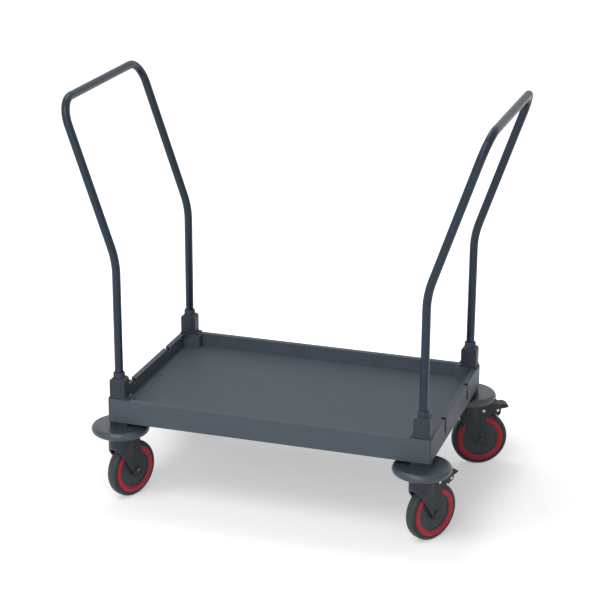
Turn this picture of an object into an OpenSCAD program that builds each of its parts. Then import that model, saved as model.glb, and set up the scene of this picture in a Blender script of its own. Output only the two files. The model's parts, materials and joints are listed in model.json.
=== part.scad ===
// Tray cart: a moulded tray on four swivel castors, with a bent tube handle at each end.
// Lengths are in millimetres. +X runs along the tray, +Y across it, +Z up, and the wheels stand on z = 0.

/* [Tray] */
// Length over the end walls
tray_length = 706; // [560:1:900]
// Width over the long walls
tray_width = 448; // [360:1:600]
// Height of the walls
tray_height = 52; // [46:1:80]
// Corner radius of the outline
tray_radius = 4; // [1:0.5:8]
// Width of the rim
rim_width = 12; // [10.5:0.5:18]
// Thickness of the moulded skin
skin = 3; // [2:0.25:3.5]
// Depth of the load floor below the rim
floor_depth = 29; // [18:1:33]
// Depth of the ribs under the floor
rib_depth = 15; // [6:1:16]
// Thickness of the ribs
rib_thickness = 2.5; // [1.5:0.25:4]
// Spacing of the ribs, rounded to fit
rib_pitch = 88; // [60:1:140]

/* [Hook slots] */
// Distance of each slot from the middle of the end wall
slot_offset = 100; // [60:1:130]
// Width of a slot
slot_width = 13; // [10:0.5:20]
// Height of a slot in the outer face
slot_height = 37; // [24:1:46]
// Depth of the notch across the rim
notch_depth = 9; // [5:0.5:14]

/* [Corners] */
// Distance of each corner axis from the end face
inset_x = 21; // [20:0.5:26]
// Distance of each corner axis from the long face
inset_y = 16; // [15.5:0.5:19]
// Length of a corner post along the tray
post_length = 50; // [45:1:70]
// Width of a corner post across the tray
post_width = 32; // [31.5:0.5:46]
// Thickness of the pad between bumper and tray
pad_thickness = 9; // [7:0.5:14]
// Length of the pad along the tray
pad_length = 42; // [36:0.5:60]
// Length of the slot in the front of a pad
pad_slot_length = 16; // [8:0.5:24]
// Height of that slot
pad_slot_height = 3.5; // [2:0.25:4]
// Step from the tray faces in to the pad and the socket flange
edge_step = 2; // [0.5:0.25:2.5]

/* [Sockets] */
// Length of a socket block
socket_length = 35; // [30:0.5:38]
// Width of a socket block
socket_width = 29; // [24:0.5:30]
// Height of the block above the rim
socket_height = 46; // [36:1:70]
// Radius of the block's shoulders
shoulder_radius = 8; // [2:0.5:9]
// Thickness of the flange under the block
flange_thickness = 2.5; // [1.5:0.25:4]
// Height of the groove between the flange and the rim
flange_groove = 1.5; // [0.5:0.25:2.5]
// Width of the raised panel on a block face
panel_width = 19; // [12:0.5:24]
// Height of the panel above the face
panel_relief = 1; // [0.5:0.1:1.2]
// Diameter of the collar round the tube
collar_diameter = 25; // [23:0.5:28]
// Height of the collar above the block
collar_height = 12; // [6:0.5:20]
// Depth of the tube in the socket
tube_depth = 42; // [24:1:44]

/* [Handles] */
// Outer diameter of the tube
tube_diameter = 18; // [16:0.5:20]
// Wall of the tube
tube_wall = 1.5; // [1:0.25:3]
// Height of the lower bend above the rim
bend_height = 304; // [180:1:400]
// Outward slope above the bend, in degrees
flare_angle = 18.9; // [8:0.1:28]
// Length from the bend to the top bar along the slope
flare_length = 349; // [260:1:480]
// Radius of the lower bends
bend_radius = 180; // [90:1:260]
// Radius of the top corners
top_radius = 52; // [36:1:90]

/* [Wheels] */
// Diameter of a wheel
wheel_diameter = 125; // [110:1:150]
// Width of a tyre
wheel_width = 26; // [22:0.5:32]
// Radius of the tyre's shoulders
tread_radius = 9; // [4:0.5:9]
// Distance from the tread in to the coloured rings
ring_inset = 10; // [9:0.5:14]
// Width of a ring
ring_width = 11.5; // [6:0.5:12]
// Height of a ring's crown above the tyre wall
ring_relief = 1.5; // [0.5:0.1:1.6]
// Depth of the recessed disc behind the ring
disc_recess = 2; // [1.5:0.25:3]
// Diameter of the wheel bearings
bearing_diameter = 28; // [24:1:32]
// Width of a wheel bearing
bearing_width = 8; // [6:0.5:9]
// Diameter of the spacer tube between the fork legs
spacer_diameter = 14; // [12:0.5:16]
// Number of spokes in a wheel core
spoke_count = 10; // [5:1:16]

/* [Castors] */
// Distance from the swivel axis back to the axle
trail = 28; // [22:0.5:34]
// Diameter of the round bumper
bumper_diameter = 124; // [110:1:140]
// Thickness of the bumper
bumper_thickness = 17.5; // [12:0.5:20]
// Diameter of the fork's hood
hood_diameter = 53; // [50:0.5:60]
// Depth of the hood's skirt below its plate
hood_skirt = 18; // [14:0.5:20]
// Thickness of the hood's plate
hood_plate = 6.5; // [4:0.5:10]
// Thickness of a fork leg
leg_thickness = 4; // [3:0.25:6]
// Gap between the tyre and a fork leg
leg_gap = 3; // [2:0.25:5]
// Depth of a fork leg below the axle
foot_drop = 15; // [13:0.5:18]
// Slope of a fork leg's leading edge, in degrees from upright
leg_slope = 33; // [28:1:36]
// Turn of the front left castor
turn_fl = 67; // [-180:0.5:180]
// Turn of the front right castor
turn_fr = 57; // [-180:0.5:180]
// Turn of the rear left castor
turn_bl = 28; // [-180:0.5:180]
// Turn of the rear right castor
turn_br = 26; // [-180:0.5:180]

/* [Brakes] */
// Distance from the swivel axis to the pedal pin
pedal_pin_reach = 64; // [60:0.5:70]
// Distance from the swivel axis to the shoe pin
shoe_pin_reach = 32; // [32:0.5:36]
// Length of the pedal beyond its pin
toe_length = 27; // [18:0.5:34]
// Width of the pedal
pedal_width = 27; // [20:0.5:28]
// Width of the brake shoe
shoe_width = 20; // [14:0.5:24]
// Gap between the shoe and the tread when released
shoe_gap = 3; // [2.9:0.1:4]
// Diameter of the brake pins
pin_diameter = 5; // [4:0.25:6]

/* [Fasteners] */
// Diameter of the corner bolts and the axles
bolt_diameter = 8; // [6:0.5:9]
// Width of their hexagons across flats
hex_width = 13; // [11:0.5:14]
// Height of their hexagons
hex_height = 5; // [4:0.25:6]
// Diameter of an axle's round head
axle_head_diameter = 14; // [11:0.5:18]
// Height of that head
axle_head_height = 3; // [2:0.25:4]
// Diameter of the grub screws that hold the tubes
grub_diameter = 6; // [4:0.5:8]

/* [Fits] */
// Radial play of a running fit
running_fit = 0.05; // [0.02:0.01:0.08]
// Gap between flat faces that turn past each other
face_gap = 0.4; // [0.3:0.05:0.8]
// Play of a fixed piece in its seat
seat_play = 0.2; // [0.05:0.05:0.3]

/* [Hidden] */
$fn = 96;

// Colours seen in the photograph
TRAY_GREY = "#545b63";
SOCKET_GREY = "#3d444c";
TUBE_BLUE_GREY = "#3f4b55";
BUMPER_GREY = "#454e56";
FORK_GREY = "#363f47";
TYRE_GREY = "#4a5455";
RING_RED = "#b3242f";
PEDAL_BLACK = "#1c2024";
STEEL = "#b9bec2";
DARK_STEEL = "#24282c";

// Wheel and castor heights, from the floor up
wheel_radius = wheel_diameter / 2;
crown_gap = 0.6;
king_flange = 3;
king_head = 7.5;
bolt_head_z = wheel_diameter + crown_gap;
king_z = bolt_head_z + hex_height;
bearing_z = king_z + king_flange;
swivel_bearing_height = 8;
plate_z = bearing_z + swivel_bearing_height + face_gap;
hood_top_z = plate_z + hood_plate;
skirt_z = plate_z - hood_skirt;
king_head_z = hood_top_z + face_gap;
bumper_z = king_head_z + king_head;
pad_z = bumper_z + bumper_thickness;
tray_z = pad_z + pad_thickness;
rim_z = tray_z + tray_height;
floor_z = rim_z - floor_depth;

// Radii round the swivel axis
hood_radius = hood_diameter / 2;
lip_step = 1;
lip_rise = 2;
king_radius = 9;
king_flange_radius = 15;
king_head_radius = hood_radius - 4;
swivel_bearing_radius = 17;
hood_wall = 3.5;
hood_bore_radius = hood_radius - hood_wall;
hood_flank = 0.62 * hood_radius;
bolt_hole_radius = bolt_diameter / 2 + seat_play;

// Inner side of the channel under the rim, from the outer face
channel_inner = rim_width - skin;

// Corner axes
axis_x = tray_length / 2 - inset_x;
axis_y = tray_width / 2 - inset_y;

// Pads
pad_neck = 1.5;
pad_slot_sill = 1.5;
pad_slot_depth = 3;

// Rings that cover the seams of a bent tube
seam_step = 0.1;
seam_half = 0.5;

// Socket and tube seat
flange_top_z = rim_z + flange_groove + flange_thickness;
groove_inset = 2;
socket_top_z = rim_z + socket_height + collar_height;
tube_seat_z = socket_top_z - tube_depth;
nut_z = tube_seat_z - hex_height - 2;
grub_z = rim_z + socket_height * 0.6;
panel_margin = 4;
block_edge_radius = 3;
collar_chamfer = 1.5;

// Fork legs
leg_in = wheel_width / 2 + leg_gap;
leg_out = leg_in + leg_thickness;
leg_reach = 10;
leg_shoulder = 13;
leg_neck = 7;
foot_front = 14.3;
foot_back = 14;
foot_corner = 5;
tread_gap = 3.5;
head_chamfer = 1;
waist_drop = 24;
waist_z = skirt_z - waist_drop;

// Wheel profile, as radius and distance from the middle plane
ring_radius = wheel_radius - ring_inset;
ring_inner = ring_radius - ring_width;
ring_sink = 2;
ring_seat = wheel_width / 2 - ring_sink;
ring_crown = 2.2;
rim_bead = 3;
core_rim = ring_inner - rim_bead;
lip_drop = 0.6;
core_lip = wheel_width / 2 - lip_drop;
disc_face = wheel_width / 2 - disc_recess;
disc_thickness = 2;
web_half = 3;
hub_wall = 4;
hub_radius = bearing_diameter / 2 + hub_wall;
hub_step = 1;
hub_half = disc_face + hub_step;
collar_gap = 0.5;
axle_collar_radius = spacer_diameter / 2 + 3;
spoke_thickness = 3;

// Brake pins, pedal and cam
pin_z = wheel_diameter + 8;
pin_radius = pin_diameter / 2;
pin_head_radius = pin_radius + 0.75;
pin_head_height = 1.5;
pedal_rise = 11;
pedal_tail = 14;
pin_boss = pin_radius + 3.5;
shoe_boss = pin_radius + 2.5;
boss_half = leg_in - face_gap;
bracket_radius = pin_radius + 5.5;
bracket_belly = 3;
cam_reach = 8.5;
cam_angle = 35;
cam_radius = 3;
cam_z = pin_z - cam_reach * sin(cam_angle) - cam_radius;

// Outline of a rectangle with round corners
module round_rect(size_x, size_y, radius) {
    square([size_x - 2 * radius, size_y], center = true);
    square([size_x, size_y - 2 * radius], center = true);
    for (x = [-1, 1], y = [-1, 1])
        translate([x * (size_x / 2 - radius), y * (size_y / 2 - radius)]) circle(radius);
}

// Box given by its lower and upper corners
module box(low, high) {
    translate(low) cube(high - low);
}

// Hexagonal prism with flats facing +Y and -Y
module hexagon(across, height) {
    cylinder(r = across / sqrt(3), h = height, $fn = 6);
}

// Copies a shape made for the +X +Y corner to the corner at the given signs
module at_corner(side_x, side_y) {
    mirror([side_x < 0 ? 1 : 0, 0, 0]) mirror([0, side_y < 0 ? 1 : 0, 0]) children();
}

module at_each_corner() {
    for (x = [-1, 1], y = [-1, 1]) at_corner(x, y) children();
}

// Moves a castor part, made about the swivel axis with its trail along +X, to its corner
module at_castor(side_x, side_y, turn) {
    translate([side_x * axis_x, side_y * axis_y, 0]) rotate([0, 0, turn]) children();
}

// Extrudes an outline in the castor's upright plane between two distances from the middle
module slab(from, to) {
    translate([0, to, 0]) rotate([90, 0, 0]) linear_extrude(height = to - from) children();
}

// Turns a wheel profile about the axle
module about_axle() {
    translate([trail, 0, wheel_radius]) rotate([90, 0, 0]) children();
}

// Tray: skirt and rim channel, load floor, ribs, corner posts and hook slots

module slot_cut() {
    half = slot_width / 2;
    box([tray_length / 2 - skin - 1, slot_offset - half, rim_z - slot_height],
        [tray_length / 2 + 1, slot_offset + half, rim_z + 1]);
    box([tray_length / 2 - rim_width - 1, slot_offset - half, rim_z - notch_depth],
        [tray_length / 2, slot_offset + half, rim_z + 1]);
}

module corner_post() {
    box([tray_length / 2 - post_length, tray_width / 2 - post_width, tray_z],
        [tray_length / 2 - skin, tray_width / 2 - skin, rim_z]);
}

module post_pocket() {
    wall_x = axis_x - socket_length / 2;
    box([tray_length / 2 - post_length + skin, tray_width / 2 - post_width + skin, tray_z - 1],
        [wall_x, tray_width / 2 - 2 * skin, rim_z - 2 * skin]);
}

// Ribs under the floor, and the rim's inner wall carried on down to their depth
module ribs() {
    count_x = max(1, round(tray_length / rib_pitch) - 1);
    count_y = max(1, round(tray_width / rib_pitch) - 1);
    step_x = (tray_length - 2 * skin) / (count_x + 1);
    step_y = (tray_width - 2 * skin) / (count_y + 1);
    low_z = floor_z - skin - rib_depth;
    translate([0, 0, low_z]) linear_extrude(height = rib_depth + 1) difference() {
        square([tray_length - 2 * channel_inner, tray_width - 2 * channel_inner], center = true);
        square([tray_length - 2 * rim_width, tray_width - 2 * rim_width], center = true);
    }
    for (i = [1:count_x])
        translate([i * step_x - tray_length / 2 + skin, 0, low_z + rib_depth / 2])
            cube([rib_thickness, tray_width - skin, rib_depth], center = true);
    for (i = [1:count_y])
        translate([0, i * step_y - tray_width / 2 + skin, low_z + rib_depth / 2])
            cube([tray_length - skin, rib_thickness, rib_depth], center = true);
}

module tray_shell() {
    difference() {
        translate([0, 0, tray_z]) linear_extrude(height = tray_height)
            round_rect(tray_length, tray_width, tray_radius);
        translate([0, 0, floor_z]) linear_extrude(height = floor_depth + 1)
            square([tray_length - 2 * rim_width, tray_width - 2 * rim_width], center = true);
        translate([0, 0, tray_z - 1]) linear_extrude(height = floor_z - skin - tray_z + 1)
            square([tray_length - 2 * skin, tray_width - 2 * skin], center = true);
        translate([0, 0, tray_z - 1]) linear_extrude(height = tray_height - skin + 1) difference() {
            square([tray_length - 2 * skin, tray_width - 2 * skin], center = true);
            square([tray_length - 2 * channel_inner, tray_width - 2 * channel_inner], center = true);
        }
    }
}

module tray() {
    color(TRAY_GREY) difference() {
        union() {
            tray_shell();
            ribs();
            at_each_corner() corner_post();
        }
        at_each_corner() post_pocket();
        at_each_corner() slot_cut();
        at_each_corner() translate([axis_x, axis_y, tray_z - 1])
            cylinder(r = bolt_hole_radius, h = tray_height + 2);
    }
}

// Corner sockets

module socket_profile() {
    half = socket_length / 2;
    square_z = socket_height - shoulder_radius;
    translate([-half, 0]) square([2 * half, square_z]);
    translate([shoulder_radius - half, 0]) square([2 * (half - shoulder_radius), socket_height]);
    for (x = [-1, 1]) translate([x * (half - shoulder_radius), square_z]) circle(shoulder_radius);
}

module socket_block() {
    translate([0, 0, rim_z]) intersection() {
        slab(-socket_width / 2, socket_width / 2) socket_profile();
        linear_extrude(height = socket_height) round_rect(socket_length, socket_width, block_edge_radius);
    }
}

module socket_panels() {
    panel_top = socket_height - shoulder_radius / 2;
    translate([0, 0, rim_z + panel_margin + panel_top / 2 - panel_margin / 2])
        cube([panel_width, socket_width + 2 * panel_relief, panel_top - panel_margin], center = true);
}

module socket_flange() {
    low_x = tray_length / 2 - post_length + 2 * edge_step;
    low_y = tray_width / 2 - post_width + edge_step / 2;
    high_x = tray_length / 2 - edge_step;
    high_y = tray_width / 2 - edge_step / 2;
    box([low_x, low_y, rim_z + flange_groove], [high_x, high_y, flange_top_z]);
    box([low_x + groove_inset, low_y + groove_inset, rim_z],
        [high_x - groove_inset, high_y - groove_inset, flange_top_z - 1]);
}

module socket_collar() {
    radius = collar_diameter / 2;
    rotate_extrude() polygon([
        [0, flange_top_z],
        [radius, flange_top_z],
        [radius, socket_top_z - collar_chamfer],
        [radius - collar_chamfer, socket_top_z],
        [0, socket_top_z]
    ]);
}

module grub_hole(radius) {
    translate([0, 0, grub_z]) rotate([0, -90, 0]) cylinder(r = radius, h = socket_length);
}

module corner_socket() {
    difference() {
        union() {
            socket_flange();
            translate([axis_x, axis_y, 0]) {
                socket_block();
                socket_panels();
                socket_collar();
            }
        }
        translate([axis_x, axis_y, 0]) {
            translate([0, 0, tube_seat_z]) cylinder(d = tube_diameter + 2 * seat_play, h = tube_depth + 1);
            translate([0, 0, nut_z]) hexagon(hex_width + 2 * seat_play, tube_seat_z - nut_z + 1);
            translate([0, 0, rim_z - 1]) cylinder(r = bolt_hole_radius, h = nut_z - rim_z + 2);
            grub_hole(grub_diameter / 2);
        }
    }
}

module socket_fl() { color(SOCKET_GREY) at_corner(-1, -1) corner_socket(); }
module socket_fr() { color(SOCKET_GREY) at_corner(1, -1) corner_socket(); }
module socket_bl() { color(SOCKET_GREY) at_corner(-1, 1) corner_socket(); }
module socket_br() { color(SOCKET_GREY) at_corner(1, 1) corner_socket(); }

// Handles: one bent tube each. Straight runs and bends meet under short rings, a hair proud of the tube.

module seam_ring(radius) {
    translate([0, 0, -seam_half]) cylinder(r = radius + seam_step, h = 2 * seam_half);
}

module tube_run(radius, length) {
    translate([0, 0, seam_half / 2]) cylinder(r = radius, h = length - seam_half);
    seam_ring(radius);
    translate([0, 0, length]) seam_ring(radius);
}

module tube_bend(bend, turn, radius) {
    translate([bend, 0, 0]) mirror([1, 0, 0]) rotate([90, 0, 0])
        rotate_extrude(angle = turn) translate([bend, 0]) circle(radius);
}

module flared() {
    translate([bend_radius, 0, 0]) rotate([0, flare_angle, 0]) translate([-bend_radius, 0, 0]) children();
}

module handle_tube(radius, extra) {
    turn_length = bend_radius * tan(flare_angle / 2);
    bend_z = rim_z + bend_height - turn_length;
    leg_length = bend_z - tube_seat_z + extra;
    slope = flare_length - turn_length - top_radius;
    half_bar = axis_y - top_radius;
    for (side = [0, 1]) mirror([0, side, 0]) translate([axis_x, axis_y, bend_z]) {
        translate([0, 0, -leg_length]) cylinder(r = radius, h = leg_length - seam_half / 2);
        seam_ring(radius);
        tube_bend(bend_radius, flare_angle, radius);
        flared() tube_run(radius, slope);
        flared() translate([0, 0, slope]) rotate([0, 0, -90]) tube_bend(top_radius, 90, radius);
    }
    translate([axis_x, 0, bend_z]) flared() translate([0, -half_bar, slope + top_radius])
        rotate([-90, 0, 0]) tube_run(radius, 2 * half_bar);
}

module handle() {
    difference() {
        handle_tube(tube_diameter / 2, 0);
        handle_tube(tube_diameter / 2 - tube_wall, 1);
    }
}

module handle_left() { color(TUBE_BLUE_GREY) mirror([1, 0, 0]) handle(); }
module handle_right() { color(TUBE_BLUE_GREY) handle(); }

// Screws, bolts and nuts

module grub_screws() {
    reach = socket_length / 2 - tube_diameter / 2 - 1;
    color(STEEL) at_each_corner() translate([axis_x - tube_diameter / 2 - seat_play, axis_y, grub_z])
        rotate([0, -90, 0]) difference() {
            cylinder(d = grub_diameter, h = reach);
            translate([0, 0, reach - 2]) hexagon(grub_diameter / 2, 3);
        }
}

module corner_bolts() {
    color(STEEL) at_each_corner() translate([axis_x, axis_y, 0]) {
        translate([0, 0, bolt_head_z]) hexagon(hex_width, hex_height);
        translate([0, 0, bolt_head_z]) cylinder(d = bolt_diameter, h = tube_seat_z - 1 - bolt_head_z);
    }
}

module corner_nuts() {
    color(STEEL) at_each_corner() translate([axis_x, axis_y, nut_z]) difference() {
        hexagon(hex_width, hex_height);
        translate([0, 0, -1]) cylinder(d = bolt_diameter, h = hex_height + 2);
    }
}

// Fixed part of the castor heads

module king_pins() {
    color(STEEL) at_each_corner() translate([axis_x, axis_y, 0]) rotate_extrude() polygon([
        [bolt_hole_radius, king_z],
        [king_flange_radius, king_z],
        [king_flange_radius, bearing_z],
        [king_radius, bearing_z],
        [king_radius, king_head_z],
        [king_head_radius, king_head_z],
        [king_head_radius, bumper_z],
        [bolt_hole_radius, bumper_z]
    ]);
}

module swivel_bearings() {
    groove = 1.5;
    middle_z = bearing_z + swivel_bearing_height / 2;
    color(STEEL) at_each_corner() translate([axis_x, axis_y, 0]) rotate_extrude() difference() {
        translate([king_radius, bearing_z])
            square([swivel_bearing_radius - king_radius, swivel_bearing_height]);
        translate([swivel_bearing_radius, middle_z]) circle(groove);
    }
}

// Pad under a corner post: its top is narrower, and its long side has a slot
module corner_pad() {
    low_x = tray_length / 2 - pad_length;
    low_y = tray_width / 2 - post_width;
    high_x = tray_length / 2 - edge_step;
    high_y = tray_width / 2 - edge_step;
    slot_low_z = pad_z + pad_slot_sill;
    difference() {
        union() {
            box([low_x, low_y, pad_z], [high_x, high_y, tray_z - pad_neck]);
            box([low_x + groove_inset, low_y + groove_inset, pad_z],
                [high_x - groove_inset, high_y - groove_inset, tray_z]);
        }
        box([axis_x - pad_slot_length / 2, high_y - pad_slot_depth, slot_low_z],
            [axis_x + pad_slot_length / 2, high_y + 1, slot_low_z + pad_slot_height]);
        translate([axis_x, axis_y, pad_z - 1]) cylinder(r = bolt_hole_radius, h = pad_thickness + 2);
    }
}

module pad_fl() { color(SOCKET_GREY) at_corner(-1, -1) corner_pad(); }
module pad_fr() { color(SOCKET_GREY) at_corner(1, -1) corner_pad(); }
module pad_bl() { color(SOCKET_GREY) at_corner(-1, 1) corner_pad(); }
module pad_br() { color(SOCKET_GREY) at_corner(1, 1) corner_pad(); }

// Bumper: a flat disc with a round edge and a ring-shaped hollow underneath

module bumper_profile() {
    edge = bumper_thickness / 2;
    edge_x = bumper_diameter / 2 - edge;
    square([edge_x, bumper_thickness]);
    translate([edge_x, edge]) circle(edge);
}

module bumper_hollow() {
    hollow_out = bumper_diameter / 2 - bumper_thickness / 2 + 1;
    hollow_in = king_head_radius + 6;
    translate([hollow_in, -1]) square([hollow_out - hollow_in, bumper_thickness - skin + 1]);
}

module bumper() {
    translate([axis_x, axis_y, bumper_z]) rotate_extrude() difference() {
        bumper_profile();
        bumper_hollow();
        translate([-1, -1]) square([bolt_hole_radius + 1, bumper_thickness + 2]);
    }
}

module bumper_fl() { color(BUMPER_GREY) at_corner(-1, -1) bumper(); }
module bumper_fr() { color(BUMPER_GREY) at_corner(1, -1) bumper(); }
module bumper_bl() { color(BUMPER_GREY) at_corner(-1, 1) bumper(); }
module bumper_br() { color(BUMPER_GREY) at_corner(1, 1) bumper(); }

// Fork, made about the swivel axis with the trail along +X

// Distance of a leg's sloping leading edge from the swivel axis, at a height
function edge_x(height) = trail - foot_front + (wheel_radius - height) * tan(leg_slope);

module leg_outline() {
    neck_z = wheel_diameter - leg_neck;
    low_z = wheel_radius - foot_drop;
    flank_z = wheel_radius + (trail - foot_front + hood_flank) / tan(leg_slope);
    corner_z = low_z + foot_corner;
    front_x = edge_x(corner_z) + foot_corner / cos(leg_slope);
    back_x = trail + foot_back;
    polygon([
        [-hood_flank, hood_top_z],
        [-hood_flank, flank_z],
        [front_x - foot_corner * cos(leg_slope), corner_z - foot_corner * sin(leg_slope)],
        [front_x, low_z],
        [back_x - foot_corner, low_z],
        [back_x, corner_z],
        [back_x, neck_z - leg_shoulder],
        [trail + leg_reach, neck_z],
        [trail + leg_reach, hood_top_z]
    ]);
    for (x = [front_x, back_x - foot_corner]) translate([x, corner_z]) circle(foot_corner);
}

module bracket_outline() {
    polygon([
        [trail, hood_top_z],
        [trail, wheel_diameter - leg_neck],
        [trail + leg_reach, wheel_diameter - leg_neck],
        [(shoe_pin_reach + pedal_pin_reach) / 2, pin_z - bracket_radius - bracket_belly],
        [pedal_pin_reach, pin_z - bracket_radius],
        [pedal_pin_reach + bracket_radius, pin_z],
        [pedal_pin_reach + bracket_radius, pin_z + bracket_radius],
        [pedal_pin_reach, hood_top_z]
    ]);
    translate([pedal_pin_reach, pin_z]) circle(bracket_radius);
}

module both_legs(from, to) {
    slab(from, to) children();
    slab(-to, -from) children();
}

// Sides of the skirt, which lean in under the hood till they meet the legs
module skirt_sides() {
    intersection() {
        translate([0, 0, waist_z]) cylinder(r = hood_radius, h = skirt_z - waist_z);
        translate([-hood_radius, 0, 0]) rotate([90, 0, 90]) linear_extrude(height = 2 * hood_radius)
            polygon([[-leg_out, waist_z], [leg_out, waist_z], [hood_radius, skirt_z], [-hood_radius, skirt_z]]);
    }
}

// What lies ahead of the legs' sloping edge
module edge_cut() {
    ahead = -4 * hood_radius;
    slab(-hood_radius - 1, hood_radius + 1) polygon([
        [edge_x(skirt_z + 2), skirt_z + 2],
        [edge_x(waist_z - 1), waist_z - 1],
        [ahead, waist_z - 1],
        [ahead, skirt_z + 2]
    ]);
}

module fork_body(braked) {
    both_legs(leg_in, leg_out) leg_outline();
    if (braked) both_legs(leg_in, leg_out) bracket_outline();
    difference() {
        skirt_sides();
        edge_cut();
    }
    translate([0, 0, skirt_z]) cylinder(r = hood_radius, h = hood_top_z - skirt_z);
    translate([0, 0, plate_z]) cylinder(r = hood_radius + lip_step, h = hood_plate + lip_rise);
}

module cross_hole(reach, height, radius) {
    translate([reach, leg_out + 1, height]) rotate([90, 0, 0]) cylinder(r = radius, h = 2 * leg_out + 2);
}

module fork(braked) {
    difference() {
        fork_body(braked);
        translate([0, 0, hood_top_z]) cylinder(r = king_head_radius + face_gap, h = lip_rise + 1);
        translate([0, 0, skirt_z - 1]) cylinder(r = hood_bore_radius, h = hood_skirt + 1);
        intersection() {
            translate([0, 0, waist_z - 1]) cylinder(r = hood_bore_radius, h = skirt_z - waist_z + 1);
            slab(-leg_in, leg_in) translate([-hood_radius, waist_z - 1]) square([2 * hood_radius, skirt_z]);
        }
        translate([0, 0, skirt_z]) cylinder(r = king_radius + running_fit, h = hood_skirt + hood_plate + 1);
        translate([trail, leg_in, wheel_radius]) rotate([90, 0, 0])
            cylinder(r = wheel_radius + tread_gap, h = 2 * leg_in);
        cross_hole(trail, wheel_radius, bolt_diameter / 2);
        if (braked) {
            cross_hole(pedal_pin_reach, pin_z, pin_radius);
            cross_hole(shoe_pin_reach, pin_z, pin_radius);
        }
    }
}

module fork_fl() { color(FORK_GREY) at_castor(-1, -1, turn_fl) fork(false); }
module fork_fr() { color(FORK_GREY) at_castor(1, -1, turn_fr) fork(true); }
module fork_bl() { color(FORK_GREY) at_castor(-1, 1, turn_bl) fork(false); }
module fork_br() { color(FORK_GREY) at_castor(1, 1, turn_br) fork(true); }

// Axle: a bolt with a low round head, and a nut

module axle_head() {
    rim = axle_head_diameter / 2;
    rotate_extrude() polygon([
        [0, 0], [rim, 0], [rim, axle_head_height - head_chamfer],
        [rim - head_chamfer, axle_head_height], [0, axle_head_height]
    ]);
}

module axle() {
    nut_face = leg_out + hex_height;
    about_axle() {
        translate([0, 0, leg_out]) axle_head();
        translate([0, 0, -nut_face - 1]) cylinder(d = bolt_diameter, h = nut_face + leg_out + 2);
        translate([0, 0, -nut_face]) difference() {
            hexagon(hex_width, hex_height);
            translate([0, 0, -1]) cylinder(d = bolt_diameter, h = hex_height + 2);
        }
    }
}

module axle_fl() { color(DARK_STEEL) at_castor(-1, -1, turn_fl) axle(); }
module axle_fr() { color(DARK_STEEL) at_castor(1, -1, turn_fr) axle(); }
module axle_bl() { color(DARK_STEEL) at_castor(-1, 1, turn_bl) axle(); }
module axle_br() { color(DARK_STEEL) at_castor(1, 1, turn_br) axle(); }

// Spacer: a tube between the legs, with a collar at each end that keeps the wheel in the middle
module spacer() {
    collar = leg_in - hub_half - collar_gap;
    about_axle() difference() {
        union() {
            translate([0, 0, -leg_in]) cylinder(d = spacer_diameter, h = 2 * leg_in);
            for (z = [-leg_in, leg_in - collar]) translate([0, 0, z])
                cylinder(r = axle_collar_radius, h = collar);
        }
        translate([0, 0, -leg_in - 1]) cylinder(d = bolt_diameter, h = 2 * leg_in + 2);
    }
}

module spacer_fl() { color(DARK_STEEL) at_castor(-1, -1, turn_fl) spacer(); }
module spacer_fr() { color(DARK_STEEL) at_castor(1, -1, turn_fr) spacer(); }
module spacer_bl() { color(DARK_STEEL) at_castor(-1, 1, turn_bl) spacer(); }
module spacer_br() { color(DARK_STEEL) at_castor(1, 1, turn_br) spacer(); }

// Wheel core: hub barrel, web, spokes and rim

module core_profile() {
    bore = bearing_diameter / 2;
    translate([bore, -hub_half]) square([hub_wall, 2 * hub_half]);
    translate([bore, -web_half]) square([core_rim - bore + 1, 2 * web_half]);
    translate([core_rim, -ring_seat]) square([ring_inner + rim_bead - core_rim, 2 * ring_seat]);
    translate([core_rim, -core_lip]) square([rim_bead - seat_play, 2 * core_lip]);
}

module core() {
    spoke_half = disc_face - disc_thickness;
    about_axle() {
        rotate_extrude() core_profile();
        for (i = [0:spoke_count - 1]) rotate([0, 0, i * 360 / spoke_count])
            translate([hub_radius - 1, -spoke_thickness / 2, -spoke_half])
                cube([core_rim - hub_radius + 2, spoke_thickness, 2 * spoke_half]);
    }
}

module core_fl() { color(FORK_GREY) at_castor(-1, -1, turn_fl) core(); }
module core_fr() { color(FORK_GREY) at_castor(1, -1, turn_fr) core(); }
module core_bl() { color(FORK_GREY) at_castor(-1, 1, turn_bl) core(); }
module core_br() { color(FORK_GREY) at_castor(1, 1, turn_br) core(); }

module tyre_profile() {
    half = wheel_width / 2;
    seat = ring_inner + rim_bead + seat_play;
    shoulder = wheel_radius - tread_radius;
    difference() {
        union() {
            translate([seat, -half]) square([shoulder - seat, 2 * half]);
            translate([seat, tread_radius - half]) square([wheel_radius - seat, 2 * (half - tread_radius)]);
            for (z = [-1, 1]) translate([shoulder, z * (half - tread_radius)]) circle(tread_radius);
        }
        translate([0, -half - 1]) square([seat, 2 * half + 2]);
        for (z = [ring_seat, -half - 1]) translate([seat - 1, z])
            square([ring_radius + seat_play - seat + 1, half - ring_seat + 1]);
    }
}

module tyre() {
    about_axle() rotate_extrude() tyre_profile();
}

module tyre_fl() { color(TYRE_GREY) at_castor(-1, -1, turn_fl) tyre(); }
module tyre_fr() { color(TYRE_GREY) at_castor(1, -1, turn_fr) tyre(); }
module tyre_bl() { color(TYRE_GREY) at_castor(-1, 1, turn_bl) tyre(); }
module tyre_br() { color(TYRE_GREY) at_castor(1, 1, turn_br) tyre(); }

// One crowned ring on each side of the wheel

module ring_profile() {
    top = wheel_width / 2 + ring_relief;
    half = ring_width / 2;
    crown_radius = (half * half + ring_crown * ring_crown) / (2 * ring_crown);
    intersection() {
        translate([ring_inner, ring_seat]) square([ring_width, top - ring_seat]);
        translate([ring_inner + half, top - crown_radius]) circle(crown_radius);
    }
}

module rings() {
    about_axle() for (side = [0, 1]) mirror([0, 0, side]) rotate_extrude() ring_profile();
}

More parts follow.
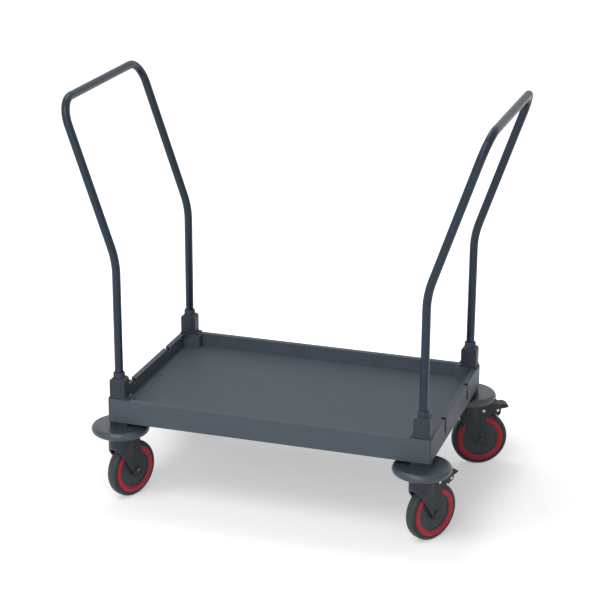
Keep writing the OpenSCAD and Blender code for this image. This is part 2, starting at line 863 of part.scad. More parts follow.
module rings_fl() { color(RING_RED) at_castor(-1, -1, turn_fl) rings(); }
module rings_fr() { color(RING_RED) at_castor(1, -1, turn_fr) rings(); }
module rings_bl() { color(RING_RED) at_castor(-1, 1, turn_bl) rings(); }
module rings_br() { color(RING_RED) at_castor(1, 1, turn_br) rings(); }

// Flat recessed discs that close the wheel core on both sides

module discs() {
    about_axle() for (side = [0, 1]) mirror([0, 0, side])
        translate([0, 0, disc_face - disc_thickness]) difference() {
            cylinder(r = core_rim - seat_play, h = disc_thickness);
            translate([0, 0, -1]) cylinder(r = hub_radius + seat_play, h = disc_thickness + 2);
        }
}

module discs_fl() { color(FORK_GREY) at_castor(-1, -1, turn_fl) discs(); }
module discs_fr() { color(FORK_GREY) at_castor(1, -1, turn_fr) discs(); }
module discs_bl() { color(FORK_GREY) at_castor(-1, 1, turn_bl) discs(); }
module discs_br() { color(FORK_GREY) at_castor(1, 1, turn_br) discs(); }

module bearings() {
    about_axle() for (side = [0, 1]) mirror([0, 0, side])
        translate([0, 0, hub_half - bearing_width]) difference() {
            cylinder(d = bearing_diameter, h = bearing_width);
            translate([0, 0, -1]) cylinder(r = spacer_diameter / 2 + running_fit, h = bearing_width + 2);
        }
}

module bearings_fl() { color(DARK_STEEL) at_castor(-1, -1, turn_fl) bearings(); }
module bearings_fr() { color(DARK_STEEL) at_castor(1, -1, turn_fr) bearings(); }
module bearings_bl() { color(DARK_STEEL) at_castor(-1, 1, turn_bl) bearings(); }
module bearings_br() { color(DARK_STEEL) at_castor(1, 1, turn_br) bearings(); }

// Brake pedal: a rocker on its pin with a cam that presses the shoe

module pedal_outline() {
    toe = pedal_pin_reach + toe_length;
    tail = pedal_pin_reach - pedal_tail;
    top_z = pin_z + pedal_rise;
    polygon([
        [tail, top_z - 5],
        [tail + 4, top_z],
        [toe - 9, top_z],
        [toe - 1, top_z - 4],
        [toe, top_z - 6],
        [toe - 2, top_z - 8.5],
        [toe - 10, top_z - 10.5],
        [pedal_pin_reach + pin_boss + 1, pin_z],
        [pedal_pin_reach + cam_reach * cos(cam_angle), pin_z - cam_reach * sin(cam_angle)],
        [pedal_pin_reach, pin_z - pin_boss + 1],
        [pedal_pin_reach - pin_boss, pin_z]
    ]);
    translate([pedal_pin_reach, pin_z]) circle(pin_boss);
    translate([pedal_pin_reach + cam_reach * cos(cam_angle), pin_z - cam_reach * sin(cam_angle)])
        circle(cam_radius);
}

module pedal() {
    difference() {
        union() {
            slab(-pedal_width / 2, pedal_width / 2) pedal_outline();
            slab(-boss_half, boss_half) translate([pedal_pin_reach, pin_z]) circle(pin_boss);
        }
        cross_hole(pedal_pin_reach, pin_z, pin_radius + running_fit);
    }
}

module pedal_fr() { color(PEDAL_BLACK) at_castor(1, -1, turn_fr) pedal(); }
module pedal_br() { color(PEDAL_BLACK) at_castor(1, 1, turn_br) pedal(); }

module brake_pin() {
    rotate([90, 0, 0]) {
        translate([0, 0, -leg_out]) cylinder(r = pin_radius, h = 2 * leg_out);
        for (z = [-leg_out - pin_head_height, leg_out])
            translate([0, 0, z]) cylinder(r = pin_head_radius, h = pin_head_height);
    }
}

module brake_pins() {
    translate([pedal_pin_reach, 0, pin_z]) brake_pin();
    translate([shoe_pin_reach, 0, pin_z]) brake_pin();
}

module brake_pins_fr() { color(STEEL) at_castor(1, -1, turn_fr) brake_pins(); }
module brake_pins_br() { color(STEEL) at_castor(1, 1, turn_br) brake_pins(); }

// Brake shoe: a lever on the inner pin whose underside follows the tread

module shoe_outline() {
    heel_z = cam_z - face_gap;
    difference() {
        union() {
            polygon([
                [shoe_pin_reach, pin_z + shoe_boss],
                [shoe_pin_reach + 4, pin_z + 3],
                [pedal_pin_reach - 9, heel_z + 3],
                [pedal_pin_reach - 1, heel_z],
                [pedal_pin_reach + 10, heel_z],
                [pedal_pin_reach + 10, heel_z - 4],
                [pedal_pin_reach + 4, heel_z - 12],
                [shoe_pin_reach, wheel_diameter - 10]
            ]);
            translate([shoe_pin_reach, pin_z]) circle(shoe_boss);
        }
        translate([trail, wheel_radius]) circle(wheel_radius + shoe_gap);
    }
}

module brake_shoe() {
    difference() {
        union() {
            slab(-shoe_width / 2, shoe_width / 2) shoe_outline();
            slab(-boss_half, boss_half) translate([shoe_pin_reach, pin_z]) circle(shoe_boss);
        }
        cross_hole(shoe_pin_reach, pin_z, pin_radius + running_fit);
    }
}

module brake_shoe_fr() { color(PEDAL_BLACK) at_castor(1, -1, turn_fr) brake_shoe(); }
module brake_shoe_br() { color(PEDAL_BLACK) at_castor(1, 1, turn_br) brake_shoe(); }

tray();
socket_fl();
socket_fr();
socket_bl();
socket_br();
handle_left();
handle_right();
grub_screws();
corner_bolts();
corner_nuts();
king_pins();
swivel_bearings();
pad_fl();
pad_fr();
pad_bl();
pad_br();
bumper_fl();
bumper_fr();
bumper_bl();
bumper_br();
fork_fl();
fork_fr();
fork_bl();
fork_br();
axle_fl();
axle_fr();
axle_bl();
axle_br();
spacer_fl();
spacer_fr();
spacer_bl();
spacer_br();
core_fl();
core_fr();
core_bl();
core_br();
tyre_fl();
tyre_fr();
tyre_bl();
tyre_br();
rings_fl();
rings_fr();
rings_bl();
rings_br();
discs_fl();
discs_fr();
discs_bl();
discs_br();
bearings_fl();
bearings_fr();
bearings_bl();
bearings_br();
pedal_fr();
pedal_br();
brake_pins_fr();
brake_pins_br();
brake_shoe_fr();
brake_shoe_br();
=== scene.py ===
import json
import math

import bmesh
import bpy
from mathutils import Matrix, Vector


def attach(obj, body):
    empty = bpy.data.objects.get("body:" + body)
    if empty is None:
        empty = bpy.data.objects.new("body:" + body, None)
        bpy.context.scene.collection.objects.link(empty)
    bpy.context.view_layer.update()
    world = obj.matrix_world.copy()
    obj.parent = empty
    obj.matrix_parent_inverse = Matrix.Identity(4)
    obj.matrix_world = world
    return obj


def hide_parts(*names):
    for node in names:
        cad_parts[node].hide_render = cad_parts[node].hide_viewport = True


# The tray cart, dressed for a studio photograph.
# Lengths are in metres, in the frame of the CAD model.

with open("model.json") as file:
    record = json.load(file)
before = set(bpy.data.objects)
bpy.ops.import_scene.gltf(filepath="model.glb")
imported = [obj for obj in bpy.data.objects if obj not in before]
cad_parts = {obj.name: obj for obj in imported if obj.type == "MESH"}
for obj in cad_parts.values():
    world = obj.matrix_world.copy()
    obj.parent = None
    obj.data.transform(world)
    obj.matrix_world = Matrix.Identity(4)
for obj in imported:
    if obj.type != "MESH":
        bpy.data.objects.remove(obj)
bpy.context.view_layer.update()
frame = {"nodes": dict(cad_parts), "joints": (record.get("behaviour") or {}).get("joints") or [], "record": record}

SLOT_OF = {part["node"]: part["material_slot"] for part in frame["record"]["subparts"]}
BODIES = frame["record"]["behaviour"]["bodies"]
BODY_OF = {node: body for body, nodes in BODIES.items() for node in nodes}
JOINTS = {joint["name"]: joint for joint in frame["joints"]}
CORNERS = ("fl", "fr", "bl", "br")
BRAKED = ("fr", "br")


# Camera

FULL_FRAME_MM = 36
NEAREST, FARTHEST = 0.1, 50


def aim_camera():
    """The photograph's view: from the right of the front, a little above the tray."""
    yaw, pitch, roll = (math.radians(angle) for angle in (17.762, 19.415, 0.307))
    target, distance, focal = Vector((0.002495, 0, 0.422064)), 4.0306, 112.965
    back = Vector((math.sin(yaw) * math.cos(pitch), -math.cos(yaw) * math.cos(pitch), math.sin(pitch)))
    level = Vector((math.cos(yaw), math.sin(yaw), 0))
    upright = back.cross(level)
    right = math.cos(roll) * level + math.sin(roll) * upright
    up = math.cos(roll) * upright - math.sin(roll) * level
    lens = bpy.data.cameras.new("camera")
    lens.sensor_width = FULL_FRAME_MM
    lens.lens = focal
    lens.clip_start, lens.clip_end = NEAREST, FARTHEST
    lens.dof.use_dof = False
    camera = bpy.data.objects.new("camera", lens)
    bpy.context.scene.collection.objects.link(camera)
    turn = Matrix((right, up, back)).transposed().to_4x4()
    camera.matrix_world = Matrix.Translation(target + distance * back) @ turn
    bpy.context.scene.camera = camera


aim_camera()


# Rounded edges

EDGE_WIDTHS = {"tray": 0.0008, "socket": 0.0007, "pad": 0.0006,
               "fork": 0.0006, "pedal": 0.0010, "brake_shoe": 0.0006}
SHARP = math.radians(30)
SMOOTH_UP_TO = math.radians(35)
FLAT_WITHIN = math.radians(0.5)
SAME_POINT = 2e-6


def rounded(node, width):
    """A copy of a CAD piece whose outer edges have the small radius that a mould leaves on them.

    The faces of each radius carry the value 1 in the attribute "edge", where materials show rubbing.
    Corners that fall together are merged, so that the copy stays closed."""
    source = frame["nodes"][node]
    shape = bmesh.new()
    shape.from_mesh(source.data)
    edge = shape.faces.layers.float.new("edge")
    bmesh.ops.remove_doubles(shape, verts=shape.verts, dist=SAME_POINT)
    bmesh.ops.dissolve_limit(shape, angle_limit=FLAT_WITHIN, verts=shape.verts, edges=shape.edges)
    outer = [e for e in shape.edges if len(e.link_faces) == 2 and e.is_convex]
    outer = [e for e in outer if e.calc_face_angle() > SHARP]
    made = bmesh.ops.bevel(shape, geom=outer, offset=width, offset_type="OFFSET", segments=3,
                           profile=0.5, affect="EDGES", material=-1, clamp_overlap=False,
                           miter_outer="ARC", loop_slide=True)
    for face in made["faces"]:
        face[edge] = 1.0
    bmesh.ops.remove_doubles(shape, verts=shape.verts, dist=SAME_POINT)
    for face in shape.faces:
        face.smooth = True
    mesh = bpy.data.meshes.new(node + "_rounded")
    shape.to_mesh(mesh)
    shape.free()
    mesh.set_sharp_from_angle(angle=SMOOTH_UP_TO)
    piece = bpy.data.objects.new(node + "_rounded", mesh)
    bpy.context.scene.collection.objects.link(piece)
    normals = piece.modifiers.new("weighted_normals", "WEIGHTED_NORMAL")
    normals.keep_sharp = True
    mesh.materials.append(None)
    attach(piece, BODY_OF[node])
    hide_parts(node)
    return piece


shown = dict(frame["nodes"])
for node in frame["nodes"]:
    kind = node.rsplit("_", 1)[0]
    if kind in EDGE_WIDTHS:
        shown[node] = rounded(node, EDGE_WIDTHS[kind])


# Materials

# Refractive index of what the pieces are made of. Metal keeps the shader's own value.
POLYPROPYLENE, NYLON, FILLED_NYLON = 1.49, 1.50, 1.55
POLYESTER, ELASTOMER, RUBBER = 1.50, 1.51, 1.52


def linear(hex_colour):
    """An sRGB hex value as a linear colour with full alpha."""
    parts = [int(hex_colour[i:i + 2], 16) / 255 for i in (1, 3, 5)]
    return tuple(p / 12.92 if p <= 0.04045 else ((p + 0.055) / 1.055) ** 2.4 for p in parts) + (1.0,)


def cells(millimetres):
    """A texture scale at which one cell of the pattern is that wide."""
    return 1000 / millimetres


def waves(millimetres):
    """What a distance is multiplied by so that its sine has one wave in that width."""
    return cells(millimetres) * 2 * math.pi


def microns(count):
    """A relief's height in metres."""
    return count / 1e6


def add(tree, kind, inputs=None, give=0, **settings):
    """One node with its settings and links. Each input is a value, or the output that feeds it."""
    made = tree.nodes.new("ShaderNode" + kind)
    for name, value in settings.items():
        setattr(made, name, value)
    for name, value in (inputs or {}).items():
        if isinstance(value, bpy.types.NodeSocket):
            tree.links.new(value, made.inputs[name])
        else:
            made.inputs[name].default_value = value
    return made.outputs[give] if made.outputs else made


def start_material(name):
    """An empty material with its object coordinates."""
    material = bpy.data.materials.new(name)
    material.use_nodes = True
    tree = material.node_tree
    tree.nodes.clear()
    return material, tree, add(tree, "TexCoord", give="Object")


def finish_material(material, tree, inputs):
    """Closes a material with its surface shader."""
    surface = add(tree, "BsdfPrincipled", inputs)
    add(tree, "OutputMaterial", {"Surface": surface})
    return material


def about_axle(tree, place, corner):
    """Distance from the axle of one wheel, for patterns that run round it."""
    joint = JOINTS["wheel_" + corner]
    turn = math.atan2(-joint["axis"][0], joint["axis"][1])
    local = add(tree, "Mapping", {"Vector": place, "Location": joint["pos_m"],
                                  "Rotation": (0, 0, turn)},
                vector_type="TEXTURE")
    flat = add(tree, "VectorMath", {0: local, 1: (1, 0, 1)}, operation="MULTIPLY")
    return add(tree, "VectorMath", {0: flat}, give="Value", operation="LENGTH")


def moulded_plastic(name, colour, rubbed, roughness, specular, grain=1.4):
    """A plastic moulded in a spark-eroded cavity: an even satin surface with a fine pebble grain.

    The real grain is about 0.15 mm wide and is drawn coarser, so that it shows. The colour drifts
    a little where the melt flowed, and edges and high spots are rubbed paler and smoother."""
    smoother, rougher, polished = roughness - 0.04, roughness + 0.05, roughness - 0.12
    colour, rubbed = linear(colour), linear(rubbed)
    material, tree, place = start_material(name)
    flow = add(tree, "TexNoise", {"Vector": place, "Scale": cells(110), "Detail": 3, "Distortion": 0.6})
    drift = add(tree, "MapRange", {"Value": flow, "From Min": 0.35, "From Max": 0.68, "To Max": 0.22})
    tone = add(tree, "Mix", {0: drift, 6: colour, 7: rubbed}, give=2, data_type="RGBA")
    marks = add(tree, "TexNoise", {"Vector": place, "Scale": cells(9), "Detail": 6, "Roughness": 0.7})
    scuffs = add(tree, "MapRange", {"Value": marks, "From Min": 0.60, "From Max": 0.74, "To Max": 0.30})
    tone = add(tree, "Mix", {0: scuffs, 6: tone, 7: rubbed}, give=2, data_type="RGBA")
    edge = add(tree, "Attribute", give="Fac", attribute_name="edge")
    patchy = add(tree, "MapRange", {"Value": marks, "From Min": 0.30, "From Max": 0.62,
                                    "To Min": 0.15, "To Max": 0.9})
    worn = add(tree, "Math", {0: edge, 1: patchy}, operation="MULTIPLY")
    tone = add(tree, "Mix", {0: worn, 6: tone, 7: rubbed}, give=2, data_type="RGBA")
    shine = add(tree, "MapRange", {"Value": flow, "From Min": 0.3, "From Max": 0.7,
                                   "To Min": smoother, "To Max": rougher})
    shine = add(tree, "MapRange", {"Value": worn, "To Min": shine, "To Max": polished})
    pebbles = add(tree, "TexVoronoi", {"Vector": place, "Scale": cells(grain)}, feature="SMOOTH_F1")
    ripple = add(tree, "Bump", {"Height": marks, "Distance": microns(120), "Strength": 0.5})
    normal = add(tree, "Bump", {"Height": pebbles, "Distance": microns(30), "Normal": ripple})
    return finish_material(material, tree, {"Base Color": tone, "Roughness": shine, "Normal": normal,
                                            "IOR": NYLON, "Specular IOR Level": specular})


def tray_polypropylene():
    """Grey polypropylene, moulded with a matt grain: soft broad highlights, faint drag marks of crates.

    Drag marks lie only on faces that look up. The real grain is finer and is drawn 1.6 mm wide."""
    colour, rubbed = linear("#4e5760"), linear("#656f78")
    material, tree, place = start_material("moulded_polypropylene_grey")
    flow = add(tree, "TexNoise", {"Vector": place, "Scale": cells(160), "Detail": 3, "Distortion": 0.8})
    drift = add(tree, "MapRange", {"Value": flow, "From Min": 0.32, "From Max": 0.70, "To Max": 0.20})
    tone = add(tree, "Mix", {0: drift, 6: colour, 7: rubbed}, give=2, data_type="RGBA")
    along = add(tree, "Mapping", {"Vector": place, "Rotation": (0, 0, math.radians(4)),
                                  "Scale": (1, 22, 22)})
    streaks = add(tree, "TexNoise", {"Vector": along, "Scale": cells(60), "Detail": 5,
                                     "Roughness": 0.6})
    dragged = add(tree, "MapRange", {"Value": streaks, "From Min": 0.60, "From Max": 0.72,
                                     "To Max": 0.26})
    facing = add(tree, "NewGeometry", give="Normal")
    upward = add(tree, "SeparateXYZ", {"Vector": facing}, give="Z")
    level = add(tree, "MapRange", {"Value": upward, "From Min": 0.9, "From Max": 0.98})
    dragged = add(tree, "Math", {0: dragged, 1: level}, operation="MULTIPLY")
    tone = add(tree, "Mix", {0: dragged, 6: tone, 7: rubbed}, give=2, data_type="RGBA")
    marks = add(tree, "TexNoise", {"Vector": place, "Scale": cells(12), "Detail": 6, "Roughness": 0.7})
    edge = add(tree, "Attribute", give="Fac", attribute_name="edge")
    patchy = add(tree, "MapRange", {"Value": marks, "From Min": 0.30, "From Max": 0.62,
                                    "To Min": 0.2, "To Max": 0.9})
    worn = add(tree, "Math", {0: edge, 1: patchy}, operation="MULTIPLY")
    tone = add(tree, "Mix", {0: worn, 6: tone, 7: rubbed}, give=2, data_type="RGBA")
    shine = add(tree, "MapRange", {"Value": flow, "From Min": 0.3, "From Max": 0.7,
                                   "To Min": 0.50, "To Max": 0.60})
    shine = add(tree, "MapRange", {"Value": dragged, "To Min": shine, "To Max": 0.40})
    pebbles = add(tree, "TexVoronoi", {"Vector": place, "Scale": cells(1.6)}, feature="SMOOTH_F1")
    ripple = add(tree, "Bump", {"Height": marks, "Distance": microns(100), "Strength": 0.5})
    normal = add(tree, "Bump", {"Height": pebbles, "Distance": microns(40), "Normal": ripple})
    return finish_material(material, tree, {"Base Color": tone, "Roughness": shine, "Normal": normal,
                                            "IOR": POLYPROPYLENE, "Specular IOR Level": 0.25})


def tube_powder_coat():
    """Polyester powder on drawn steel tube: satin blue-grey with a shallow ripple, the orange peel."""
    coat, lifted = linear("#13293a"), linear("#1f3748")
    material, tree, place = start_material("powder_coated_steel_blue_grey")
    flow = add(tree, "TexNoise", {"Vector": place, "Scale": cells(70), "Detail": 3})
    drift = add(tree, "MapRange", {"Value": flow, "From Min": 0.35, "From Max": 0.7, "To Max": 0.3})
    tone = add(tree, "Mix", {0: drift, 6: coat, 7: lifted}, give=2, data_type="RGBA")
    hands = add(tree, "TexNoise", {"Vector": place, "Scale": cells(14), "Detail": 5, "Roughness": 0.65})
    shine = add(tree, "MapRange", {"Value": hands, "From Min": 0.3, "From Max": 0.7,
                                   "To Min": 0.28, "To Max": 0.38})
    peel = add(tree, "TexNoise", {"Vector": place, "Scale": cells(2.6), "Detail": 1})
    normal = add(tree, "Bump", {"Height": peel, "Distance": microns(60)})
    return finish_material(material, tree, {"Base Color": tone, "Roughness": shine, "Normal": normal,
                                            "IOR": POLYESTER, "Specular IOR Level": 0.3})


def bumper_elastomer():
    """Moulded thermoplastic elastomer: a smooth grey disc with a soft sheen, scuffed by doors."""
    grey, bloomed, scuffed = linear("#37424b"), linear("#46525b"), linear("#6a747c")
    material, tree, place = start_material("moulded_elastomer_grey")
    bloom = add(tree, "TexNoise", {"Vector": place, "Scale": cells(35), "Detail": 4})
    drift = add(tree, "MapRange", {"Value": bloom, "From Min": 0.35, "From Max": 0.68, "To Max": 0.3})
    tone = add(tree, "Mix", {0: drift, 6: grey, 7: bloomed}, give=2, data_type="RGBA")
    flattened = add(tree, "Mapping", {"Vector": place, "Scale": (1, 1, 6)})
    rubs = add(tree, "TexNoise", {"Vector": flattened, "Scale": cells(22), "Detail": 6,
                                  "Roughness": 0.7})
    scuffs = add(tree, "MapRange", {"Value": rubs, "From Min": 0.58, "From Max": 0.72, "To Max": 0.35})
    tone = add(tree, "Mix", {0: scuffs, 6: tone, 7: scuffed}, give=2, data_type="RGBA")
    shine = add(tree, "MapRange", {"Value": rubs, "From Min": 0.3, "From Max": 0.7,
                                   "To Min": 0.27, "To Max": 0.38})
    skin = add(tree, "TexNoise", {"Vector": place, "Scale": cells(1.5), "Detail": 2})
    normal = add(tree, "Bump", {"Height": skin, "Distance": microns(30)})
    return finish_material(material, tree, {"Base Color": tone, "Roughness": shine, "Normal": normal,
                                            "IOR": ELASTOMER, "Specular IOR Level": 0.5})


def fork_nylon():
    """Nylon filled with glass fibre: dark, satin, with short pale fibre streaks that lie with the flow.

    The real streaks are about 0.2 mm wide and are drawn four times as wide."""
    dark, lifted = linear("#232a31"), linear("#313941")
    fibre, rubbed = linear("#59636b"), linear("#5a646c")
    material, tree, place = start_material("glass_filled_nylon_dark")
    flow = add(tree, "TexNoise", {"Vector": place, "Scale": cells(40), "Detail": 3, "Distortion": 1.0})
    drift = add(tree, "MapRange", {"Value": flow, "From Min": 0.35, "From Max": 0.68, "To Max": 0.3})
    tone = add(tree, "Mix", {0: drift, 6: dark, 7: lifted}, give=2, data_type="RGBA")
    down = add(tree, "Mapping", {"Vector": place, "Scale": (1, 1, 0.16)})
    fibres = add(tree, "TexNoise", {"Vector": down, "Scale": cells(0.8), "Detail": 2,
                                    "Distortion": 0.4})
    lines = add(tree, "MapRange", {"Value": fibres, "From Min": 0.58, "From Max": 0.70, "To Max": 0.22})
    tone = add(tree, "Mix", {0: lines, 6: tone, 7: fibre}, give=2, data_type="RGBA")
    edge = add(tree, "Attribute", give="Fac", attribute_name="edge")
    worn = add(tree, "Math", {0: edge, 1: flow}, operation="MULTIPLY")
    tone = add(tree, "Mix", {0: worn, 6: tone, 7: rubbed}, give=2, data_type="RGBA")
    shine = add(tree, "MapRange", {"Value": fibres, "From Min": 0.3, "From Max": 0.7,
                                   "To Min": 0.44, "To Max": 0.56})
    normal = add(tree, "Bump", {"Height": fibres, "Distance": microns(30)})
    return finish_material(material, tree, {"Base Color": tone, "Roughness": shine, "Normal": normal,
                                            "IOR": FILLED_NYLON, "Specular IOR Level": 0.3})


def disc_polypropylene(corner):
    """Polypropylene from a turned mould: a dark satin disc with very fine rings round the axle.

    The rings of a real mould are about 0.2 mm apart and are drawn 1 mm apart. Dust pales the rim."""
    hub, rim = 0.026, 0.036
    dark, lifted, dusty = linear("#333c44"), linear("#444e56"), linear("#4c555c")
    material, tree, place = start_material("moulded_polypropylene_dark_" + corner)
    radius = about_axle(tree, place, corner)
    flow = add(tree, "TexNoise", {"Vector": place, "Scale": cells(30), "Detail": 4})
    drift = add(tree, "MapRange", {"Value": flow, "From Min": 0.35, "From Max": 0.68, "To Max": 0.3})
    tone = add(tree, "Mix", {0: drift, 6: dark, 7: lifted}, give=2, data_type="RGBA")
    dust = add(tree, "MapRange", {"Value": radius, "From Min": hub, "From Max": rim,
                                  "To Max": 0.25})
    tone = add(tree, "Mix", {0: dust, 6: tone, 7: dusty}, give=2, data_type="RGBA")
    rings = add(tree, "Math", {0: radius, 1: waves(1)}, operation="MULTIPLY")
    rings = add(tree, "Math", {0: rings}, operation="SINE")
    shine = add(tree, "MapRange", {"Value": flow, "From Min": 0.3, "From Max": 0.7,
                                   "To Min": 0.42, "To Max": 0.52})
    normal = add(tree, "Bump", {"Height": rings, "Distance": microns(6)})
    return finish_material(material, tree, {"Base Color": tone, "Roughness": shine, "Normal": normal,
                                            "IOR": POLYPROPYLENE, "Specular IOR Level": 0.35})


def tyre_rubber(corner):
    """Grey rubber that leaves no marks, pressed in a turned mould: matt, with fine rings on its sides.

    The tread picks up pale dust, and the sides keep a dry bloom."""
    tread, fade = 0.058, 0.004
    grey, bloomed, dust = linear("#2c3637"), linear("#3a4546"), linear("#5d6666")
    material, tree, place = start_material("pressed_rubber_grey_" + corner)
    radius = about_axle(tree, place, corner)
    bloom = add(tree, "TexNoise", {"Vector": place, "Scale": cells(16), "Detail": 5, "Roughness": 0.65})
    drift = add(tree, "MapRange", {"Value": bloom, "From Min": 0.4, "From Max": 0.68, "To Max": 0.35})
    tone = add(tree, "Mix", {0: drift, 6: grey, 7: bloomed}, give=2, data_type="RGBA")
    running = add(tree, "MapRange", {"Value": radius, "From Min": tread, "From Max": tread + fade,
                                     "To Max": 0.5})
    dusty = add(tree, "Math", {0: running, 1: bloom}, operation="MULTIPLY")
    tone = add(tree, "Mix", {0: dusty, 6: tone, 7: dust}, give=2, data_type="RGBA")
    rings = add(tree, "Math", {0: radius, 1: waves(1.5)}, operation="MULTIPLY")
    rings = add(tree, "Math", {0: rings}, operation="SINE")
    pores = add(tree, "TexNoise", {"Vector": place, "Scale": cells(1.6), "Detail": 3})
    shine = add(tree, "MapRange", {"Value": bloom, "From Min": 0.3, "From Max": 0.7,
                                   "To Min": 0.46, "To Max": 0.60})
    normal = add(tree, "Bump", {"Height": rings, "Distance": microns(15)})
    normal = add(tree, "Bump", {"Height": pores, "Distance": microns(50), "Normal": normal})
    return finish_material(material, tree, {"Base Color": tone, "Roughness": shine, "Normal": normal,
                                            "IOR": RUBBER, "Specular IOR Level": 0.25})


def red_ring(corner):
    """Red polypropylene from a polished mould: bright and fairly glossy, dulled by dust in patches."""
    red, lighter, dusty = linear("#b91e2e"), linear("#c82a39"), linear("#7c1820")
    material, tree, place = start_material("polished_polypropylene_red_" + corner)
    radius = about_axle(tree, place, corner)
    flow = add(tree, "TexNoise", {"Vector": place, "Scale": cells(18), "Detail": 3})
    tone = add(tree, "Mix", {0: flow, 6: red, 7: lighter}, give=2, data_type="RGBA")
    marks = add(tree, "TexNoise", {"Vector": place, "Scale": cells(6), "Detail": 5, "Roughness": 0.7})
    film = add(tree, "MapRange", {"Value": marks, "From Min": 0.55, "From Max": 0.75, "To Max": 0.18})
    tone = add(tree, "Mix", {0: film, 6: tone, 7: dusty}, give=2, data_type="RGBA")
    shine = add(tree, "MapRange", {"Value": marks, "From Min": 0.3, "From Max": 0.7,
                                   "To Min": 0.30, "To Max": 0.40})
    turned = add(tree, "Math", {0: radius, 1: waves(1.2)}, operation="MULTIPLY")
    turned = add(tree, "Math", {0: turned}, operation="SINE")
    normal = add(tree, "Bump", {"Height": turned, "Distance": microns(4)})
    return finish_material(material, tree, {"Base Color": tone, "Roughness": shine, "Normal": normal,
                                            "IOR": POLYPROPYLENE, "Specular IOR Level": 0.3})


def bright_steel(name, colour, dull, patch):
    """Zinc plated or ground steel: a pale metal with duller patches and fine marks."""
    material, tree, place = start_material(name)
    patches = add(tree, "TexNoise", {"Vector": place, "Scale": cells(patch), "Detail": 4})
    cloudy = add(tree, "MapRange", {"Value": patches, "From Min": 0.35, "From Max": 0.7})
    tone = add(tree, "Mix", {0: cloudy, 6: linear(colour), 7: linear(dull)}, give=2, data_type="RGBA")
    shine = add(tree, "MapRange", {"Value": cloudy, "To Min": 0.22, "To Max": 0.42})
    marks = add(tree, "TexNoise", {"Vector": place, "Scale": cells(0.8), "Detail": 2})
    normal = add(tree, "Bump", {"Height": marks, "Distance": microns(20)})
    return finish_material(material, tree, {"Base Color": tone, "Roughness": shine, "Normal": normal,
                                            "Metallic": 1.0})


def axle_steel(corner):
    """Dark grey dip coat on turned steel, in the tone of the fork.

    The tip of a plain castor's axle is riveted over, which leaves a small bare and bright spot."""
    dark, lifted, bare_steel = linear("#272e35"), linear("#343c44"), linear("#a6abb0")
    tip, fade = 0.0 if corner in BRAKED else 0.0016, 0.0003
    material, tree, place = start_material("dip_coated_steel_dark_" + corner)
    radius = about_axle(tree, place, corner)
    flow = add(tree, "TexNoise", {"Vector": place, "Scale": cells(8), "Detail": 4})
    tone = add(tree, "Mix", {0: flow, 6: dark, 7: lifted}, give=2, data_type="RGBA")
    bare = add(tree, "MapRange", {"Value": radius, "From Min": tip, "From Max": tip + fade,
                                  "To Min": 1, "To Max": 0})
    tone = add(tree, "Mix", {0: bare, 6: tone, 7: bare_steel}, give=2, data_type="RGBA")
    shine = add(tree, "MapRange", {"Value": flow, "From Min": 0.3, "From Max": 0.7,
                                   "To Min": 0.34, "To Max": 0.46})
    marks = add(tree, "TexNoise", {"Vector": place, "Scale": cells(0.7), "Detail": 2})
    normal = add(tree, "Bump", {"Height": marks, "Distance": microns(20)})
    return finish_material(material, tree, {"Base Color": tone, "Roughness": shine, "Normal": normal,
                                            "Metallic": bare, "Specular IOR Level": 0.3})


FINISHES = {
    "tray_plastic": tray_polypropylene(),
    "socket_plastic": moulded_plastic("moulded_nylon_slate", "#2e363f", "#424c55", 0.50, 0.28),
    "tube_paint": tube_powder_coat(),
    "bumper_rubber": bumper_elastomer(),
    "fork_nylon": fork_nylon(),
    "pedal_plastic": moulded_plastic("moulded_nylon_black", "#15181b", "#32373c", 0.44, 0.30, 1.2),
    "shoe_plastic": moulded_plastic("moulded_nylon_charcoal", "#1c2025", "#343a40", 0.50, 0.30, 1.2),
    "zinc_steel": bright_steel("zinc_plated_steel", "#c6cbcf", "#8f959a", 4),
    "bearing_steel": bright_steel("ground_bearing_steel", "#b0b4b8", "#84888c", 2.5),
    "seal_rubber": moulded_plastic("moulded_seal_rubber_black", "#15181a", "#2a2e31", 0.60, 0.30, 1.0),
}
WHEEL_FINISHES = {"core_plastic": disc_polypropylene, "tyre_rubber": tyre_rubber,
                  "ring_plastic": red_ring, "black_steel": axle_steel}
for slot, finish in WHEEL_FINISHES.items():
    for corner in CORNERS:
        FINISHES[slot, corner] = finish(corner)

for node, held in shown.items():
    slot = SLOT_OF[node]
    for place in held.material_slots:
        place.material = FINISHES[(slot, node[-2:]) if slot in WHEEL_FINISHES else slot]


# Studio

WHITE_CARD = "#fafafa"
# Place, the point that it faces, width and power of each lamp.
LAMPS = {
    "front_overhead_softbox": ((-0.5, -1.8, 3.0), (0, 0, 0.2), 1.6, 33),
    "low_front_softbox": ((0.1, -3.4, 1.6), (0, 0, 0.3), 2.0, 34),
    "rear_overhead_softbox": ((-0.8, 0.9, 3.0), (0, 0, 0.2), 1.2, 14),
    "left_softbox": ((-2.0, -2.2, 2.4), (0, 0, 0.2), 2.0, 8),
}


def soft_lamp(name, place, target, size, power):
    """A square softbox that faces a point. Its power is in watts."""
    lamp = bpy.data.lights.new(name, "AREA")
    lamp.shape = "SQUARE"
    lamp.size = size
    lamp.energy = power
    held = bpy.data.objects.new(name, lamp)
    bpy.context.scene.collection.objects.link(held)
    held.location = place
    held.rotation_euler = (Vector(target) - Vector(place)).to_track_quat("-Z", "Y").to_euler()


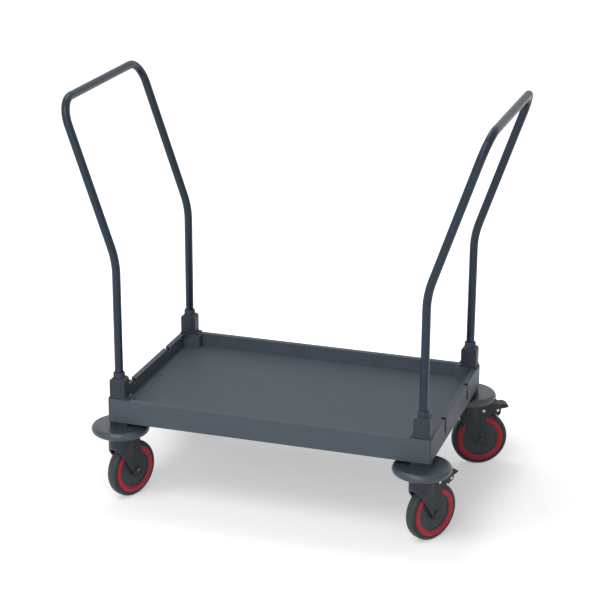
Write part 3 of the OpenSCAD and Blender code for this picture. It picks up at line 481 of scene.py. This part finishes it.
def seen_rays(tree):
    """1 for what the camera, gloss or a clear surface sees, and 0 for light that falls on things."""
    rays = tree.nodes.new("ShaderNodeLightPath").outputs
    seen = add(tree, "Math", {0: rays["Is Camera Ray"], 1: rays["Is Glossy Ray"]}, operation="MAXIMUM")
    return add(tree, "Math", {0: seen, 1: rays["Is Transmission Ray"]}, operation="MAXIMUM")


def pale_floor():
    """A floor that reads white where nothing shades it and keeps the cart's soft shadow.

    It glows for the camera and gloss only: a little near the cart, fully beyond an oval round it."""
    half_width = 12
    oval, inner, outer = (2.0, 3.1, 0), 0.8, 2.6
    near_glow, far_glow = 0.40, 1.0
    shape = bmesh.new()
    bmesh.ops.create_grid(shape, x_segments=1, y_segments=1, size=half_width)
    mesh = bpy.data.meshes.new("studio_floor")
    shape.to_mesh(mesh)
    shape.free()
    floor = bpy.data.objects.new("studio_floor", mesh)
    bpy.context.scene.collection.objects.link(floor)
    material, tree, place = start_material("studio_floor_white")
    spread = add(tree, "VectorMath", {0: place, 1: oval}, operation="MULTIPLY")
    away = add(tree, "VectorMath", {0: spread}, give="Value", operation="LENGTH")
    reach = add(tree, "MapRange", {"Value": away, "From Min": inner, "From Max": outer,
                                   "To Min": near_glow, "To Max": far_glow},
                interpolation_type="SMOOTHSTEP")
    glow = add(tree, "Math", {0: seen_rays(tree), 1: reach}, operation="MULTIPLY")
    finish_material(material, tree, {"Base Color": linear(WHITE_CARD), "Roughness": 0.9,
                                     "Specular IOR Level": 0.0, "Emission Color": linear("#ffffff"),
                                     "Emission Strength": glow})
    mesh.materials.append(material)


def white_world(light):
    """White to the camera and to gloss, softer as a light."""
    world = bpy.data.worlds.new("studio")
    bpy.context.scene.world = world
    world.use_nodes = True
    tree = world.node_tree
    tree.nodes.clear()
    strength = add(tree, "MapRange", {"Value": seen_rays(tree), "To Min": light, "To Max": 1.0})
    sky = add(tree, "Background", {"Color": linear("#ffffff"), "Strength": strength})
    add(tree, "OutputWorld", {"Surface": sky})


pale_floor()
white_world(light=0.19)
for name, setting in LAMPS.items():
    soft_lamp(name, *setting)

bpy.context.scene.view_settings.view_transform = "Standard"
